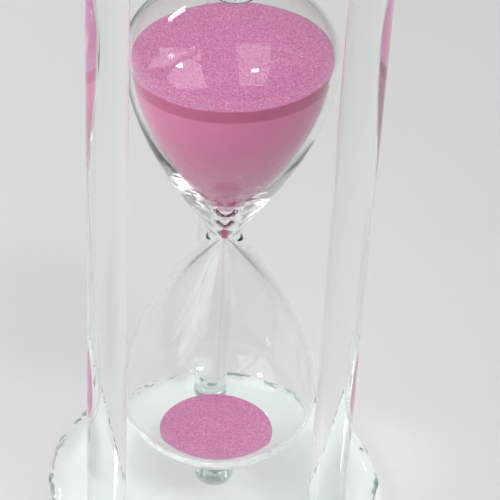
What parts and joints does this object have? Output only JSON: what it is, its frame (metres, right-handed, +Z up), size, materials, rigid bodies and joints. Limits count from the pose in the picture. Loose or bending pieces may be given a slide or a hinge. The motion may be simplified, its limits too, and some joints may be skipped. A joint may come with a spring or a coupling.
{
  "type": "hourglass",
  "caption": "All-glass sand timer: a blown vessel with a pinched neck and pink sand, held on posts between two round glass plates by glass columns; times an interval when turned over.",
  "frame": {"origin": "centre of the base plate's underside, where the timer stands", "axes": "+Z up along the timer's centre line; -Y is the front, between two columns; +X is to the right of someone facing the front"},
  "size_m": [0.105, 0.105, 0.223],
  "materials": {
    "plate_glass": "clear soda-lime glass with a faint green cast, fire-polished wavy rim",
    "column_glass": "clear drawn glass rod, fire-polished, ends ground flat",
    "vessel_glass": "clear blown borosilicate glass, fire-polished",
    "clear_adhesive": "water-clear cured adhesive film",
    "pink_sand": "fine even pink-dyed sand, matt with a slight sparkle"
  },
  "bodies": {
    "root": {"base_plate": "plate_glass", "top_plate": "plate_glass", "column_front_left": "column_glass", "column_front_right": "column_glass", "column_rear": "column_glass", "glass_vessel": "vessel_glass", "lower_end_post": "vessel_glass", "upper_end_post": "vessel_glass", "lower_column_adhesive": "clear_adhesive", "upper_column_adhesive": "clear_adhesive", "lower_post_adhesive": "clear_adhesive", "upper_post_adhesive": "clear_adhesive", "upper_sand": "pink_sand", "lower_sand": "pink_sand", "falling_sand": "pink_sand"}
  },
  "joints": []
}
